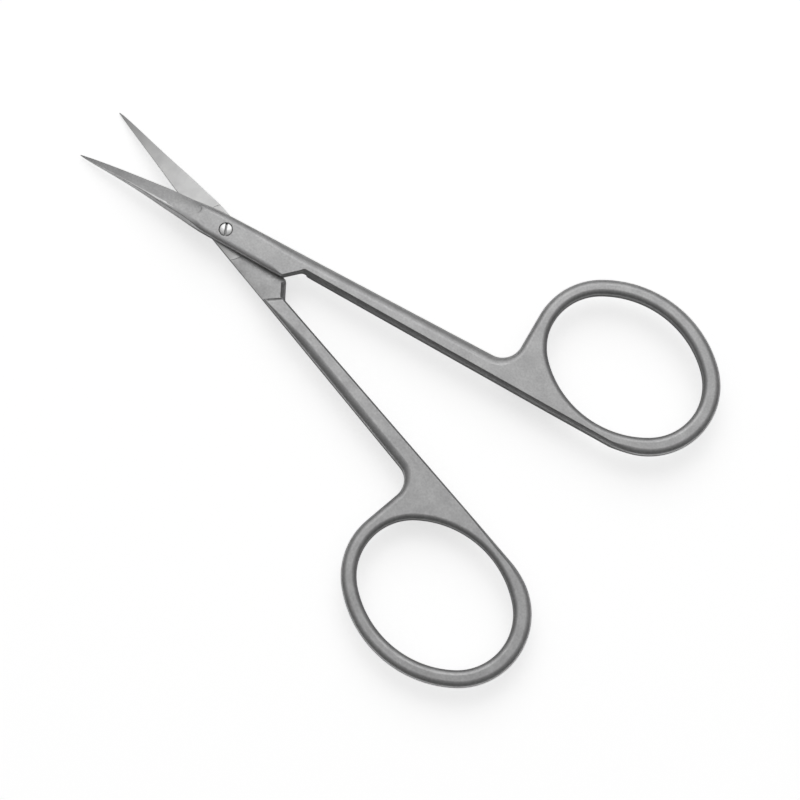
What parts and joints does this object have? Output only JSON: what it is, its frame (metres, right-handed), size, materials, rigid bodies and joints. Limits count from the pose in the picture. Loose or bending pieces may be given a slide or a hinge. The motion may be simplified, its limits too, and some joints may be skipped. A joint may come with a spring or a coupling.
{
  "type": "cuticle scissors",
  "caption": "Cuticle scissors: slim curved blades, flat box joint on a slotted pivot screw, and oval finger rings, lying part open.",
  "frame": {"origin": "on the joint axis, in the plane of the lower half's flat underside", "axes": "+X midway between the blades toward the tips, +Y to the side of the upper half's blade, +Z along the joint axis toward the screw head"},
  "size_m": [0.0957, 0.0654, 0.0054],
  "materials": {
    "satin_steel": "fine satin, bead-blasted stainless steel with ground edges",
    "polished_steel": "polished stainless steel"
  },
  "bodies": {
    "lower": {"lower_half": "satin_steel", "pivot_screw": "polished_steel"},
    "upper": {"upper_half": "satin_steel"}
  },
  "joints": [
    {"name": "blade_pivot", "type": "hinge", "parent": "lower", "child": "upper", "pos_m": [0, 0, 0], "axis": [0, 0, 1], "range_deg": [-19.6, 125]}
  ]
}
